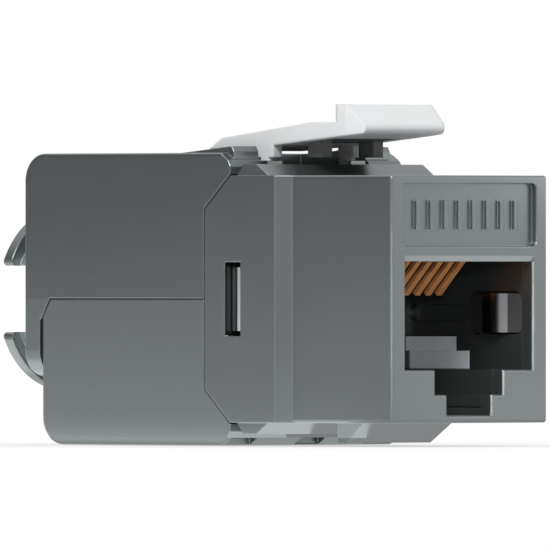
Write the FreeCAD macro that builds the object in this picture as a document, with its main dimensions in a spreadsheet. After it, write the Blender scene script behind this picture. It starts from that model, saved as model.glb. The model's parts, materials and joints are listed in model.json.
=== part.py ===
"""Shielded tool-free keystone jack, as a parametric FreeCAD document in millimetres.

The origin is the middle of the port's mouth: X runs across the jack, Y from the front face
back along the cable, Z up towards the panel latch. Every sub-part is a labelled object whose
sizes are bound to the spreadsheet, and each is written to parts/ under its label.
"""
import FreeCAD, Part
import os
import Sketcher
from FreeCAD import Placement, Rotation, Vector

SIZES = [
    # alias, millimetres, what it measures
    ("front_width", "14.5", "front block, across"),
    ("front_height", "16.2", "front block and cheeks, bottom to top"),
    ("front_depth", "9.13", "front block, from its face to the flare"),
    ("flare_out", "0.75", "how far the flare widens each side"),
    ("flare_length", "0.93", "flare, along the jack"),
    ("face_wall", "1.0", "die-cast wall behind the front face"),
    ("nose_wall", "0.6", "side wall of the front block"),
    ("roof_wall", "1.0", "top and bottom wall of the housing"),
    ("edge_round", "0.2", "small rounding on the cast edges"),
    ("cheek_length", "6.49", "cheeks, from the flare to their rear edge"),
    ("cheek_wall", "1.0", "thickness of a cheek"),
    ("corner_length", "2.38", "sloped rear corner of a cheek, along the jack"),
    ("corner_drop", "2.22", "sloped rear corner of a cheek, down from the top"),
    ("window_front", "13.21", "cheek window, front edge"),
    ("window_length", "1.48", "cheek window, along the jack"),
    ("window_height", "4.86", "cheek window, bottom to top"),
    ("ridge_setback", "0.81", "from the end of the flare to the ridge"),
    ("ridge_base", "2.93", "panel ridge, along the jack at its foot"),
    ("ridge_slope", "1.1", "panel ridge, length of its front slope"),
    ("ridge_crest", "1.21", "panel ridge, length of its flat top"),
    ("ridge_rise", "0.75", "panel ridge, above the housing"),
    ("ridge_inset", "0.25", "panel ridge, in from the cheeks each side"),
    ("catch_depth", "8.2", "front face to the rear of the panel hook"),
    ("hook_width", "8.28", "panel hook, across"),
    ("hook_rise", "1.33", "panel hook, below the housing"),
    ("hook_tip", "0.72", "panel hook, flat at its tip"),
    ("hook_slope", "1.81", "panel hook, length of its front slope"),
    ("hook_draft", "0.22", "panel hook, how much each side leans in"),
    ("label_width", "12.54", "label recess, across"),
    ("label_brow", "0.535", "label recess, below the top of the front face"),
    ("label_gap", "1.025", "label recess, above the port's ceiling"),
    ("label_depth", "0.45", "label recess, into the face"),
    ("label_corner", "0.35", "label recess, rounding of its corners"),
    ("label_bevel", "0.07", "label recess, bevel round its edge"),
    ("tick_width", "0.34", "index tick in the label recess, across"),
    ("tick_inset", "1.1", "index tick, from the top and bottom of the label recess"),
    ("tick_step", "1.3", "index tick to index tick"),
    ("tick_rise", "0.25", "index tick, out of the floor of the recess"),
    ("port_width", "11.86", "port, across"),
    ("port_skin", "0.5", "front wall under the port's latch channel"),
    ("port_height", "7.07", "port, ceiling to floor"),
    ("port_depth", "12.0", "port, mouth to back wall"),
    ("tab_width", "6.3", "port's wide latch channel, across"),
    ("tab_drop", "1.63", "port's wide latch channel, below the floor"),
    ("key_width", "4.1", "port's narrow latch channel, across"),
    ("key_drop", "1.35", "port's narrow latch channel, below the wide one"),
    ("key_depth", "9.5", "port's latch channels, along the jack"),
    ("mouth_bevel", "0.12", "bevel down the sides and along the steps of the port's mouth"),
    ("mouth_brow", "0.4", "slope along the top of the port's mouth, height"),
    ("brow_depth", "0.15", "slope along the top of the port's mouth, into the face"),
    ("insert_gap", "0.05", "clearance round the port insert and the core pieces"),
    ("insert_back", "0.6", "port insert, thickness of its back wall"),
    ("pitch", "1.02", "contact to contact"),
    ("wire_width", "0.45", "contact, across"),
    ("wire_thick", "0.3", "contact, thickness of the strip"),
    ("wire_rise", "0.8", "contact run, above the port's ceiling"),
    ("wire_front", "3.6", "contact fold, from the front face"),
    ("wire_fall", "2.72", "contact, height of its sloping spring"),
    ("comb_slot", "0.66", "slot for a contact in the port insert, across"),
    ("board_thick", "1.2", "circuit board"),
    ("board_width", "11.2", "circuit board, across"),
    ("board_inset", "0.5", "circuit board, in from the top and bottom walls"),
    ("shield_thick", "0.2", "side shield spring, thickness of the strip"),
    ("shield_gap", "0.1", "clearance round the side shield spring"),
    ("shield_nick", "0.4", "window for the side shield spring, corners cut at its front"),
    ("shield_height", "2.6", "side shield spring, bottom to top"),
    ("shield_middle", "-0.9", "side shield spring, height of its middle"),
    ("shield_bulge", "0.6", "side shield spring, into the port"),
    ("shield_front", "1.0", "side shield spring, from the front face"),
    ("shield_bend", "0.9", "side shield spring, radius of its bends"),
    ("shield_corner", "0.5", "side shield spring, rounding of its front corners"),
    ("shield_foot", "0.35", "side shield spring, length of its flat foot"),
    ("shield_rise", "1.4", "side shield spring, length of its front slope"),
    ("shield_fall", "1.3", "side shield spring, length of its rear slope"),
    ("shield_length", "4.4", "side shield spring, along the jack"),
    ("groove_front", "5.9", "round-ended groove behind the shield spring, front end"),
    ("groove_end", "11.4", "round-ended groove behind the shield spring, rear end"),
    ("groove_tall", "1.1", "round-ended groove, bottom to top"),
    ("groove_sink", "0.3", "round-ended groove, into the side of the port"),
    ("plate_front", "7.1", "ground plate beside the port, front edge of its upper step"),
    ("plate_end", "11.9", "ground plate beside the port, rear edge of its upper step"),
    ("plate_top", "-2.45", "ground plate beside the port, top"),
    ("plate_split", "-3.4", "ground plate beside the port, height of its step"),
    ("plate_advance", "1.2", "ground plate, how much further forward its lower step starts"),
    ("plate_retreat", "0.5", "ground plate, how much sooner its lower step ends"),
    ("plate_step", "0.15", "ground plate, from its upper face to its lower face"),
    ("block_width", "11.0", "punch-down block, across"),
    ("block_rise", "5.2", "punch-down block, above the middle"),
    ("block_length", "13.1", "punch-down block, along the jack"),
    ("block_bevel", "0.8", "punch-down block, bevel at its rear"),
    ("fork_first", "22.0", "first row of wire forks, from the front face"),
    ("fork_step", "3.2", "first row of wire forks to the second"),
    ("fork_outer", "4.2", "outer wire forks, from the middle"),
    ("fork_inner", "1.4", "inner wire forks, from the middle"),
    ("fork_width", "1.8", "wire fork, across its two tines"),
    ("fork_slot", "0.34", "wire fork, slot between the tines"),
    ("fork_mouth", "1.0", "wire fork, mouth of the slot"),
    ("fork_tip", "4.4", "wire fork, height of its tip"),
    ("fork_throat", "0.43", "wire fork, depth of the mouth's taper"),
    ("fork_foot", "1.28", "wire fork, lower edge to the foot of the slot"),
    ("blade_thick", "0.4", "wire fork, thickness of the sheet"),
    ("blade_leg", "0.8", "wire fork, height of its leg"),
    ("groove_width", "1.5", "wire groove across the block"),
    ("groove_drop", "1.2", "wire groove, below the tips of the forks"),
    ("guide_radius", "5.4", "wire guide, outer radius"),
    ("guide_thick", "1.3", "wire guide, thickness of its disc"),
    ("guide_cross", "2.0", "wire guide, length of its cross"),
    ("guide_web", "0.9", "wire guide, thickness of its cross"),
    ("guide_rib", "0.6", "wire guide, wall left beside its cross"),
    ("guide_inset", "0.6", "wire guide, ends of its cross in from the cable hole"),
    ("clip_thick", "0.6", "side clip, thickness of its foot"),
    ("clip_height", "4.2", "side clip, bottom to top"),
    ("clip_tail", "1.6", "side clip, behind its lug"),
    ("lug_reach", "0.6", "lug of a side clip, into the cheek window"),
    ("lug_base", "0.98", "lug of a side clip, along the jack at its foot"),
    ("lug_tooth", "0.28", "lug of a side clip, length of its raised tooth"),
    ("lug_step", "0.25", "lug of a side clip, its tooth above the rest of it"),
    ("lug_gap", "0.09", "lug of a side clip, to the rear edge of the window"),
    ("hinge_setback", "1.43", "door hinge, behind the start of the ridge"),
    ("hinge_sink", "0.5", "door hinge, below the top of the housing"),
    ("pin_radius", "0.4", "hinge pin"),
    ("pin_clearance", "0.03", "running clearance round the hinge pin"),
    ("eye_radius", "0.9", "eye of a door arm"),
    ("eye_gap", "0.07", "running clearance round the eye"),
    ("arm_outer", "6.9", "door arm, outer side from the middle"),
    ("arm_thick", "1.0", "door arm, across"),
    ("arm_neck", "1.0", "door arm, width of the neck under its eye"),
    ("arm_reach", "1.75", "door arm, from the hinge to its inner curve"),
    ("arm_depth", "2.9", "door arm, from the hinge to its lower edge"),
    ("arm_lead", "0.1", "door arm, plate in front of its neck"),
    ("arm_lap", "0.05", "door arm, plate behind the cheeks"),
    ("arm_nick", "0.4", "door arm, bevel of its lower front corner"),
    ("arm_bevel", "1.0", "door arm, bevel of its lower rear corner"),
    ("arm_brow", "1.05", "door arm, plate behind its inner curve"),
    ("arm_root", "0.2", "door arm, end of its neck inside the plate"),
    ("door_length", "19.27", "upper door, along the jack"),
    ("door_rise", "1.5", "doors, above the housing"),
    ("door_wall", "0.9", "wall of a door"),
    ("door_edge", "0.2", "doors, rounding of the long outer edges"),
    ("door_bevel", "1.0", "doors, bevel above the front wall"),
    ("chin_slope", "0.2", "doors, steep slope under the bevel, along the jack"),
    ("chin_drop", "0.4", "doors, steep slope under the bevel, top to bottom"),
    ("door_corner", "1.8", "doors, rounding of the rear corner"),
    ("lower_slope", "0.8", "lower door, sloped rear corner at the seam, along the jack"),
    ("lower_drop", "1.3", "lower door, sloped rear corner at the seam, down from the middle"),
    ("tongue_thick", "0.24", "tongue of the upper door behind the seam, across"),
    ("tongue_drop", "0.4", "tongue of the upper door behind the seam, below the middle"),
    ("lip_recess", "0.42", "recesses in the front lip of the lower door, bottom to top"),
    ("recess_middle", "2.3", "middle recess in the lip of the lower door, across"),
    ("recess_inner", "5.2", "side recess in the lip of the lower door, inner end from the middle"),
    ("recess_outer", "7.6", "side recess in the lip of the lower door, outer end from the middle"),
    ("seam_gap", "0.09", "gap round the doors"),
    ("wrap_thick", "1.45", "rear wall of the upper door"),
    ("wrap_drop", "5.1", "rear wall of the upper door, below the middle"),
    ("wrap_round", "1.68", "rear wall of the upper door, rounding of its lower corners"),
    ("wrap_gap", "0.22", "between the two rear walls"),
    ("wrap_inset", "0.1", "rear wall of the upper door, legs outside the cable collar"),
    ("lower_wall", "1.0", "rear wall of the lower door"),
    ("hump_rise", "0.43", "lips beside the latch, above the upper door"),
    ("hump_length", "5.3", "lips beside the latch, along the jack"),
    ("hump_width", "14.54", "lips beside the latch, across"),
    ("hump_setback", "0.38", "lips beside the latch, set back from the front of the door"),
    ("hump_slope", "0.2", "lips beside the latch, length of their front bevel"),
    ("hump_bevel", "0.35", "lips beside the latch, height of their front bevel"),
    ("notch_width", "10.0", "notch for the latch in the upper door, across"),
    ("notch_gap", "0.2", "notch for the latch, to the wire presser"),
    ("neck_radius", "5.3", "cable collar, outer radius of its neck"),
    ("bore_radius", "4.35", "cable collar, inner radius"),
    ("neck_length", "3.7", "cable collar, length of its neck"),
    ("rim_radius", "6.07", "cable collar, outer radius of its rim"),
    ("rim_length", "0.85", "cable collar, length of its rim"),
    ("rim_edge", "0.12", "cable collar, rounding of the rim's outer edges"),
    ("rim_corner", "0.3", "cable collar, rounding of the rim's corners at the split"),
    ("collar_gap", "4.4", "between the two halves of the collar"),
    ("collar_flat", "10.88", "cable collar, across the flats at its ends"),
    ("presser_rib", "0.6", "rib of a wire presser, along the jack"),
    ("presser_foot", "4.7", "rib of a wire presser, height of its foot"),
    ("presser_plate", "1.3", "wire presser, thickness of its plate"),
    ("presser_width", "12.4", "wire presser, across"),
    ("presser_gap", "0.8", "wire presser, behind the tail of the latch"),
    ("latch_width", "8.08", "panel latch, across"),
    ("latch_nose", "7.0", "panel latch, across its nose"),
    ("latch_top", "12.76", "panel latch, height of its head"),
    ("latch_step", "11.6", "panel latch, height of its step behind the head"),
    ("latch_thick", "1.1", "panel latch, thickness of its arm"),
    ("latch_head", "0.84", "panel latch, flat top of its head"),
    ("latch_set", "0.12", "panel latch, rear of its head behind the panel hook"),
    ("latch_sag", "0.4", "panel latch, underside at the legs, below the level arm"),
    ("latch_reach", "5.3", "panel latch, nose from the front face"),
    ("latch_nose_low", "10.92", "panel latch, height of its nose"),
    ("latch_bend", "10.56", "panel latch, start of its sloping arm"),
    ("latch_tail", "20.0", "panel latch, rear end"),
    ("latch_tail_top", "10.6", "panel latch, top of its tail"),
    ("latch_tail_slope", "1.1", "panel latch, slope at the end of its tail"),
    ("latch_tail_lip", "0.5", "panel latch, bevel under the end of its tail"),
    ("latch_tail_edge", "0.7", "panel latch, tail's end below its top"),
    ("latch_tail_deep", "0.85", "panel latch, tail's underside below its top"),
    ("latch_nose_round", "0.42", "panel latch, rounding of its nose"),
    ("latch_tail_round", "0.9", "panel latch, rounding of the end of its tail"),
    ("leg_thick", "0.74", "latch leg, across"),
    ("leg_plate", "0.36", "latch leg, thickness of its outer and front plates"),
    ("leg_length", "1.75", "latch leg, along the jack"),
    ("leg_front", "14.05", "latch leg, from the front face"),
    ("leg_root", "0.3", "latch leg, its root below the level underside of the arm"),
    ("leg_shoulder", "0.2", "latch leg, its shoulder above the cradle"),
    ("pivot_height", "8.75", "latch foot, height of its middle"),
    ("foot_radius", "0.55", "latch foot"),
    ("foot_gap", "0.06", "running clearance round the latch foot"),
    ("foot_neck", "0.7", "latch foot, neck above it"),
    ("cradle_rise", "0.35", "latch cradle, bearings above the middle of the foot"),
    ("cradle_sink", "0.25", "latch cradle, its middle below the tops of the bearings"),
    ("cradle_side", "0.5", "latch cradle, beyond the latch each side"),
    ("cradle_back", "0.4", "latch cradle, behind its bearings"),
    ("cradle_lead", "0.2", "latch cradle, in front of its bearings"),
    ("stop_front", "10.8", "latch stop ribs, front edge"),
    ("stop_length", "1.3", "latch stop ribs, along the jack"),
    ("stop_foot", "9.3", "latch stop ribs, height of their foot"),
    ("stop_width", "0.95", "latch stop rib, across"),
    ("stop_inner", "1.9", "latch stop ribs, inner side from the middle"),
]

DIAGONAL = 2 ** 0.5  # length of a 45 degree slope for each unit of rise
MITRE = DIAGONAL - 1.0  # tangent of 22.5 degrees
CONTACTS = 8


class Dim:
    """A length known both as a number and as a spreadsheet formula."""

    def __init__(self, number, formula):
        self.number = number
        self.formula = formula

    def __add__(self, other):
        other = dim(other)
        return Dim(self.number + other.number, f"({self.formula} + {other.formula})")

    def __sub__(self, other):
        other = dim(other)
        return Dim(self.number - other.number, f"({self.formula} - {other.formula})")

    def __mul__(self, other):
        other = dim(other)
        return Dim(self.number * other.number, f"({self.formula} * {other.formula})")

    def __truediv__(self, other):
        other = dim(other)
        return Dim(self.number / other.number, f"({self.formula} / {other.formula})")

    def __neg__(self):
        return self * -1.0

    def __radd__(self, other):
        return dim(other) + self

    def __rsub__(self, other):
        return dim(other) - self

    def __rmul__(self, other):
        return dim(other) * self


def dim(value):
    return value if isinstance(value, Dim) else Dim(float(value), f"({float(value)!r})")


class Sheet:
    """The spreadsheet of driving dimensions; each alias reads back as a Dim."""

    def __init__(self, document, rows):
        self.page = document.addObject("Spreadsheet::Sheet", "sizes")
        for row, (alias, number, note) in enumerate(rows, start=1):
            self.page.set(f"A{row}", alias)
            self.page.set(f"B{row}", number)
            self.page.set(f"C{row}", note)
            self.page.setAlias(f"B{row}", alias)
            setattr(self, alias, Dim(float(number), f"sizes.{alias}"))


doc = FreeCAD.newDocument("keystone_jack")
size = Sheet(doc, SIZES)
doc.recompute()
subparts = []


# ---------------------------------------------------------------- tools for making pieces
def bind(thing, **formulas):
    """Bind properties to formulas; a double underscore stands for a dot."""
    for name, value in formulas.items():
        thing.setExpression(name.replace("__", "."), dim(value).formula)


def keep(thing, label):
    """Register an object as a sub-part under its label."""
    thing.Label = label
    subparts.append(thing)
    return thing


def rectangle(left, right, bottom, top):
    return [(left, bottom), (right, bottom), (right, top), (left, top)]


def circle(across, up, radius):
    return ("circle", across, up, radius)


def flipped(loop, across=1, up=1):
    """The same loop mirrored across either axis of its plane."""
    return [(dim(u) * across, dim(v) * up) for u, v in loop]


class Piece:
    """A PartDesign body built feature by feature on its own origin planes."""

    def __init__(self, label):
        self.label = label
        self.body = keep(doc.addObject("PartDesign::Body", f"{label}_body"), label)

    def feature(self, kind, name, **properties):
        thing = self.body.newObject(f"PartDesign::{kind}", f"{self.label}_{name}")
        for key, value in properties.items():
            setattr(thing, key, value)
        return thing

    def sketch(self, plane, at, loops, name):
        """A fully constrained sketch on an origin plane, moved to a place along its normal."""
        sketch = self.body.newObject("Sketcher::SketchObject", f"{self.label}_{name}_sketch")
        base = [o for o in self.body.Origin.OriginFeatures if o.Role == f"{plane}_Plane"][0]
        sketch.AttachmentSupport = (base, [""])
        sketch.MapMode = "FlatFace"
        bind(sketch, AttachmentOffset__Base__z=-dim(at) if plane == "XZ" else at)
        for loop in loops:
            if loop[0] == "circle":
                add_circle(sketch, *loop[1:])
            else:
                add_polygon(sketch, loop)
        return sketch

    def volume(self):
        return self.body.Shape.Volume if not self.body.Shape.isNull() else 0.0

    def pad(self, plane, loops, low, high, name):
        """Add the loops as material from low to high along the plane's axis."""
        before = self.volume()
        sketch = self.sketch(plane, high if plane == "XZ" else low, loops, name)
        pad = self.feature("Pad", name, Profile=sketch)
        bind(pad, Length=dim(high) - low)
        doc.recompute()
        if not self.volume() > before:
            raise ValueError(f"{self.label}: {name} added nothing")
        return pad

    def pocket(self, plane, loops, low, high, name):
        """Cut the loops out of the body from low to high along the plane's axis."""
        before = self.volume()
        sketch = self.sketch(plane, low if plane == "XZ" else high, loops, name)
        pocket = self.feature("Pocket", name, Profile=sketch)
        bind(pocket, Length=dim(high) - low)
        doc.recompute()
        if not self.volume() < before:
            raise ValueError(f"{self.label}: {name} cut nothing")
        return pocket

    def dress(self, kind, name, amount, chooser):
        """Fillet or chamfer the edges that the chooser accepts."""
        base = self.body.Tip
        names = [f"Edge{i}" for i, edge in enumerate(base.Shape.Edges, start=1) if chooser(edge)]
        if not names:
            raise ValueError(f"{self.label}: {name} found no edge")
        thing = self.feature(kind, name, Base=(base, names))
        bind(thing, **{"Radius" if kind == "Fillet" else "Size": amount})
        doc.recompute()
        return thing

    def fillet(self, radius, chooser, name):
        return self.dress("Fillet", name, radius, chooser)

    def chamfer(self, amount, chooser, name):
        return self.dress("Chamfer", name, amount, chooser)

    def row(self, feature, axis, step, count, name):
        """Repeat a feature along an origin axis."""
        line = [o for o in self.body.Origin.OriginFeatures if o.Role == f"{axis}_Axis"][0]
        pattern = self.feature("LinearPattern", name, Originals=[feature], Direction=(line, [""]))
        pattern.Occurrences = count
        bind(pattern, Length=dim(step) * (count - 1))
        self.body.Tip = pattern
        doc.recompute()
        return pattern

    def round_array(self, feature, axis, count, name):
        """Repeat a feature evenly round an origin axis."""
        line = [o for o in self.body.Origin.OriginFeatures if o.Role == f"{axis}_Axis"][0]
        pattern = self.feature("PolarPattern", name, Originals=[feature], Axis=(line, [""]))
        pattern.Angle = 360.0
        pattern.Occurrences = count
        self.body.Tip = pattern
        doc.recompute()
        return pattern


def add_polygon(sketch, loop):
    """Closed lines through the corners, each corner held by its two distances."""
    corners = [(dim(u), dim(v)) for u, v in loop]
    first = sketch.GeometryCount
    points = [Vector(u.number, v.number, 0) for u, v in corners]
    count = len(points)
    sketch.addGeometry([Part.LineSegment(points[i], points[(i + 1) % count]) for i in range(count)])
    for i, (u, v) in enumerate(corners):
        line, following = first + i, first + (i + 1) % count
        sketch.addConstraint(Sketcher.Constraint("Coincident", line, 2, following, 1))
        hold(sketch, "DistanceX", (line, 1), u)
        hold(sketch, "DistanceY", (line, 1), v)


def add_circle(sketch, across, up, radius):
    across, up, radius = dim(across), dim(up), dim(radius)
    centre = Vector(across.number, up.number, 0)
    ring = sketch.addGeometry(Part.Circle(centre, Vector(0, 0, 1), radius.number))
    hold(sketch, "DistanceX", (ring, 3), across)
    hold(sketch, "DistanceY", (ring, 3), up)
    hold(sketch, "Radius", (ring,), radius)


def hold(sketch, kind, where, value):
    index = sketch.addConstraint(Sketcher.Constraint(kind, *where, value.number))
    sketch.setExpression(f"Constraints[{index}]", value.formula)


def near(a, b):
    return abs(a - dim(b).number) < 0.01


def straight(axis, *places):
    """Accept straight edges along an axis that pass through any of the places given."""
    index = "XYZ".index(axis)
    others = [i for i in range(3) if i != index]

    def accept(edge):
        if len(edge.Vertexes) != 2:
            return False
        start, end = (vertex.Point for vertex in edge.Vertexes)
        along = all(near(start[i], end[i]) for i in others)
        return along and any(all(near(start[i], at) for i, at in zip(others, place)) for place in places)

    return accept


def row_start(step):
    """The place of the first of a centred row with one for each contact."""
    return dim(step) * (-(CONTACTS - 1) / 2)


def rod(name, axis, radius, low, high, across, up):
    """A Part::Cylinder along X or Y, with its axis through the two places given."""
    thing = doc.addObject("Part::Cylinder", name)
    bind(thing, Radius=radius, Height=dim(high) - low)
    if axis == "X":
        thing.Placement = Placement(Vector(), Rotation(Vector(0, 1, 0), 90))
        bind(thing, Placement__Base__x=low, Placement__Base__y=across, Placement__Base__z=up)
    else:
        thing.Placement = Placement(Vector(), Rotation(Vector(1, 0, 0), -90))
        bind(thing, Placement__Base__x=across, Placement__Base__y=low, Placement__Base__z=up)
    return thing


# ---------------------------------------------------------------- places shared by the pieces
half_width = size.front_width / 2
half_height = size.front_height / 2
body_half = half_width + size.flare_out
flare_end = size.front_depth + size.flare_length
cheek_rear = flare_end + size.cheek_length
cheek_inner = body_half - size.cheek_wall
corner_start = cheek_rear - size.corner_length
corner_height = half_height - size.corner_drop
nose_inner = half_width - size.nose_wall
roof_inner = half_height - size.roof_wall
ridge_front = flare_end + size.ridge_setback
ridge_rear = ridge_front + size.ridge_base
ridge_top = half_height + size.ridge_rise
hinge_y = ridge_front + size.hinge_setback
hinge_z = half_height - size.hinge_sink
arm_inner = size.arm_outer - size.arm_thick

port_half = size.port_width / 2
key_floor = size.port_skin - half_height
tab_floor = key_floor + size.key_drop
port_floor = tab_floor + size.tab_drop
port_top = port_floor + size.port_height
label_low = port_top + size.label_gap
label_high = half_height - size.label_brow
insert_shoulder = hinge_y - size.eye_radius - 2 * size.insert_gap
insert_rear = size.port_depth + size.insert_back
board_front = insert_rear + size.insert_gap
board_rear = board_front + size.board_thick
block_front = board_rear + size.insert_gap
block_rear = block_front + size.block_length
fork_rows = (size.fork_first, size.fork_first + size.fork_step)

door_front = corner_start
door_top = half_height + size.door_rise
door_rear = door_front + size.door_length
wrap_front = door_rear - size.wrap_thick
lower_rear = wrap_front - size.wrap_gap
neck_end = door_rear + size.neck_length
rim_end = neck_end + size.rim_length
presser_front = size.latch_tail + size.presser_gap
notch_rear = presser_front - size.notch_gap


def port_outline():
    """The mouth of the port: a wide opening with two steps below it for the plug's latch."""
    wide, narrow = size.tab_width / 2, size.key_width / 2
    right = [
        (port_half, port_top), (port_half, port_floor), (wide, port_floor),
        (wide, tab_floor), (narrow, tab_floor), (narrow, key_floor),
    ]
    return right + flipped(right, across=-1)[::-1]


# ---------------------------------------------------------------- die-cast housing
def housing():
    """Front block, flare, cheeks, panel ridges, panel hook, hinge pockets and latch cradle."""
    piece = Piece("main_housing")
    plan = [
        (-half_width, 0), (half_width, 0), (half_width, size.front_depth),
        (body_half, flare_end), (body_half, cheek_rear), (-body_half, cheek_rear),
        (-body_half, flare_end), (-half_width, size.front_depth),
    ]
    piece.pad("XY", [plan], -half_height, half_height, "plan")
    corner = [(corner_start, half_height), (cheek_rear, corner_height), (cheek_rear, half_height)]
    piece.pocket("YZ", [corner, flipped(corner, up=-1)], -body_half, body_half, "corners")
    crest = ridge_front + size.ridge_slope
    ridge = [
        (ridge_front, roof_inner), (ridge_rear, roof_inner), (ridge_rear, half_height),
        (crest + size.ridge_crest, ridge_top), (crest, ridge_top), (ridge_front, half_height),
    ]
    ridge_half = body_half - size.ridge_inset
    piece.pad("YZ", [ridge, flipped(ridge, up=-1)], -ridge_half, ridge_half, "ridges")
    hook_tip = -(half_height + size.hook_rise)
    hook_front = size.catch_depth - size.hook_tip
    hook = [
        (hook_front - size.hook_slope, -roof_inner), (hook_front - size.hook_slope, -half_height),
        (hook_front, hook_tip), (size.catch_depth, hook_tip), (size.catch_depth, -roof_inner),
    ]
    hook_half = size.hook_width / 2
    piece.pad("YZ", [hook], -hook_half, hook_half, "hook")
    draft = [(hook_half, -half_height), (hook_half, hook_tip), (hook_half - size.hook_draft, hook_tip)]
    piece.pocket("XZ", [draft, flipped(draft, across=-1)], hook_front - size.hook_slope,
                 size.catch_depth, "hook_draft")
    nose = rectangle(-nose_inner, nose_inner, -roof_inner, roof_inner)
    piece.pocket("XZ", [nose], size.face_wall, flare_end, "nose_cavity")
    rear = rectangle(-cheek_inner, cheek_inner, -roof_inner, roof_inner)
    piece.pocket("XZ", [rear], flare_end, cheek_rear, "rear_cavity")
    open_rear = rectangle(-cheek_inner, cheek_inner, -half_height, half_height)
    piece.pocket("XZ", [open_rear], ridge_rear, cheek_rear, "open_rear")
    piece.pocket("XZ", [port_outline()], 0, size.face_wall, "mouth")
    key = rectangle(-size.key_width / 2, size.key_width / 2, key_floor, -roof_inner)
    piece.pocket("XZ", [key], size.face_wall, size.key_depth, "key_channel")
    window = rectangle(
        size.window_front, size.window_front + size.window_length,
        -size.window_height / 2, size.window_height / 2)
    piece.pocket("YZ", [window], -body_half, body_half, "windows")
    hinge_pockets(piece)
    latch_cradle(piece)
    piece.fillet(size.edge_round, front_block_edges, "block_edges")
    piece.chamfer(size.mouth_bevel, mouth_edges, "mouth_bevel")
    brow_half = port_half + size.mouth_bevel
    brow = [(0, port_top), (size.brow_depth, port_top), (0, port_top + size.mouth_brow)]
    piece.pocket("YZ", [brow], -brow_half, brow_half, "mouth_brow")
    label_half = size.label_width / 2
    label = rectangle(-label_half, label_half, label_low, label_high)
    piece.pocket("XZ", [label], 0, size.label_depth, "label_recess")
    corners = [(x, z) for x in (-label_half, label_half) for z in (label_low, label_high)]
    piece.fillet(size.label_corner, straight("Y", *corners), "label_corners")
    piece.chamfer(size.label_bevel, label_edges, "label_bevel")
    first, reach = row_start(size.tick_step), size.tick_width / 2
    tick = rectangle(first - reach, first + reach,
                     label_low + size.tick_inset, label_high - size.tick_inset)
    ticks = piece.pad("XZ", [tick], size.label_depth - size.tick_rise, size.label_depth, "tick")
    piece.row(ticks, "X", size.tick_step, CONTACTS, "ticks")
    return piece


def label_edges(edge):
    """The edges where the label recess meets the front face."""
    ends = [vertex.Point for vertex in edge.Vertexes]
    slack = size.label_bevel.number
    side = size.label_width.number / 2 + slack
    low, high = label_low.number - slack, label_high.number + slack
    return all(near(p.y, 0) and low < p.z < high and abs(p.x) < side for p in ends)


def hinge_pockets(piece):
    """Round pockets for the door eyes, slots for their necks, and blind holes for the pins."""
    eye = size.eye_radius + size.eye_gap
    neck = size.arm_neck / 2 + size.insert_gap * 2
    slot = rectangle(hinge_y, ridge_rear, hinge_z - neck, hinge_z + neck)
    pockets = {
        "right": (arm_inner - size.insert_gap, cheek_inner),
        "left": (-cheek_inner, size.insert_gap - arm_inner),
    }
    for side, (low, high) in pockets.items():
        eyes = [circle(hinge_y, hinge_z * up, eye) for up in (1, -1)]
        piece.pocket("YZ", eyes, low, high, f"eye_pocket_{side}")
        piece.pocket("YZ", [slot, flipped(slot, up=-1)], low, high, f"neck_slot_{side}")
    pin_half = cheek_inner + size.cheek_wall / 2
    pins = [circle(hinge_y, hinge_z * up, size.pin_radius + size.pin_clearance) for up in (1, -1)]
    piece.pocket("YZ", pins, -pin_half, pin_half, "pin_holes")


def latch_cradle(piece):
    """A shelf behind the upper ridge, with two open bearings for the feet of the latch."""
    pivot = size.leg_front + size.leg_length / 2
    half = size.latch_width / 2 + size.cradle_side
    wrap = size.foot_radius + size.foot_gap
    front = pivot - wrap - size.cradle_lead
    back = pivot + wrap + size.cradle_back
    top = size.pivot_height + size.cradle_rise
    shelf = [
        (ridge_rear - size.roof_wall, roof_inner), (back, roof_inner), (back, top),
        (front, top), (front, half_height), (ridge_rear - size.roof_wall, half_height),
    ]
    piece.pad("YZ", [shelf], -half, half, "latch_shelf")
    bearing = circle(pivot, size.pivot_height, wrap)
    cheek = size.latch_width / 2 + size.insert_gap
    piece.pocket("YZ", [bearing], -cheek, cheek, "latch_bearing")
    between = size.latch_width / 2 - size.leg_thick - size.insert_gap * 2
    floor = top - size.cradle_sink
    middle = rectangle(-between, between, ridge_rear - size.roof_wall, back)
    piece.pocket("XY", [middle], floor, top, "latch_saddle")
    centre = rectangle(-between, between, front, back)
    piece.pad("XY", [centre], roof_inner, floor, "latch_spine")


def front_block_edges(edge):
    """The outer edges of the front block: round its face and along its four corners."""
    ends = [vertex.Point for vertex in edge.Vertexes]
    if len(ends) < 2:
        return False
    outer_x = [near(abs(p.x), half_width) for p in ends]
    outer_z = [near(abs(p.z), half_height) for p in ends]
    on_face = all(near(p.y, 0) for p in ends)
    if on_face:
        return all(outer_x) or all(outer_z)
    return all(outer_x) and all(outer_z) and any(near(p.y, 0) for p in ends)


def mouth_edges(edge):
    """The edges where the port's mouth meets the front face, except along its top."""
    ends = [vertex.Point for vertex in edge.Vertexes]
    if len(ends) < 2 or not all(near(p.y, 0) for p in ends):
        return False
    if all(near(p.z, port_top) for p in ends):
        return False
    limit_x, limit_z = port_half.number + 0.01, -key_floor.number + 0.01
    return all(abs(p.x) < limit_x and abs(p.z) < limit_z for p in ends)


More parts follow.
